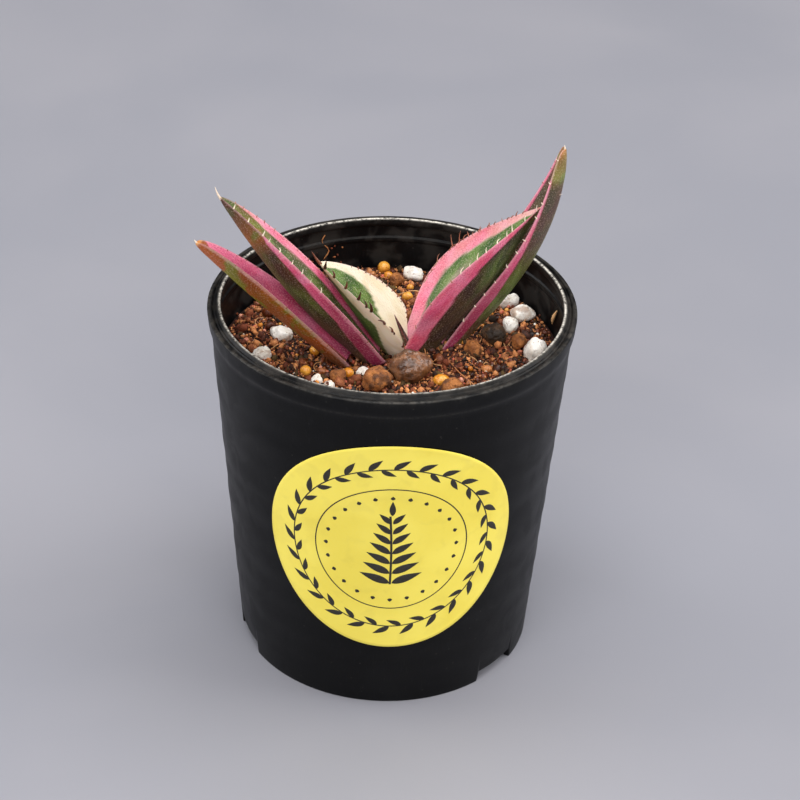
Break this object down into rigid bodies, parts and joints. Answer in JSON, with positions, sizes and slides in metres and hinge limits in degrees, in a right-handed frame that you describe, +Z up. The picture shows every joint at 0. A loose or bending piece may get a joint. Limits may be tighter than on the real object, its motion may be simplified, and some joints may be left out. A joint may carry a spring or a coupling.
{
  "type": "potted agave",
  "caption": "Small variegated agave with toothed gutter-shaped leaves in a round tapered plastic nursery pot of gritty potting mix, with a round plain label on the wall.",
  "frame": {"origin": "on the pot's axis, at the level of the surface that its foot stands on, which is the middle of the underside of the whole object's box to within a millimetre", "axes": "+Z up along the pot's axis, -Y towards the side that the label faces, +X to the right of it"},
  "size_m": [0.0917, 0.09, 0.1329],
  "materials": {
    "pot": "black moulded polypropylene, satin, scuffed, with a paler worn rim",
    "label": null,
    "potting_mix": "crumbs of reddish-brown baked clay, bark and grit, matt and slightly damp",
    "crown": "pale fibrous stem and roots",
    "leaf": "fleshy leaf, satin with a thin bloom, green with pink and cream margins and small pale teeth",
    "spear_leaf": "dark brown young leaf, dry tip",
    "clay_lump": "matt porous baked clay",
    "pumice": "off-white porous pumice",
    "fertiliser_pellet": "amber resin-coated slow-release pellet",
    "bark_chip": "greenish-brown bark chip"
  },
  "bodies": {
    "root": {"bark_chip_1": "bark_chip", "bark_chip_2": "bark_chip", "bark_chip_3": "bark_chip", "clay_lump_1": "clay_lump", "clay_lump_10": "clay_lump", "clay_lump_11": "clay_lump", "clay_lump_2": "clay_lump", "clay_lump_3": "clay_lump", "clay_lump_4": "clay_lump", "clay_lump_5": "clay_lump", "clay_lump_6": "clay_lump", "clay_lump_7": "clay_lump", "clay_lump_8": "clay_lump", "clay_lump_9": "clay_lump", "crown_and_roots": "crown", "fertiliser_pellet_1": "fertiliser_pellet", "fertiliser_pellet_10": "fertiliser_pellet", "fertiliser_pellet_2": "fertiliser_pellet", "fertiliser_pellet_3": "fertiliser_pellet", "fertiliser_pellet_4": "fertiliser_pellet", "fertiliser_pellet_5": "fertiliser_pellet", "fertiliser_pellet_6": "fertiliser_pellet", "fertiliser_pellet_7": "fertiliser_pellet", "fertiliser_pellet_8": "fertiliser_pellet", "fertiliser_pellet_9": "fertiliser_pellet", "label": "label", "leaf_inner_left": "leaf", "leaf_inner_right": "leaf", "leaf_middle_left": "leaf", "leaf_outer_left": "leaf", "leaf_outer_right": "leaf", "pot": "pot", "potting_mix": "potting_mix", "pumice_1": "pumice", "pumice_10": "pumice", "pumice_11": "pumice", "pumice_12": "pumice", "pumice_13": "pumice", "pumice_14": "pumice", "pumice_2": "pumice", "pumice_3": "pumice", "pumice_4": "pumice", "pumice_5": "pumice", "pumice_6": "pumice", "pumice_7": "pumice", "pumice_8": "pumice", "pumice_9": "pumice", "spear_leaf": "spear_leaf"}
  },
  "joints": []
}
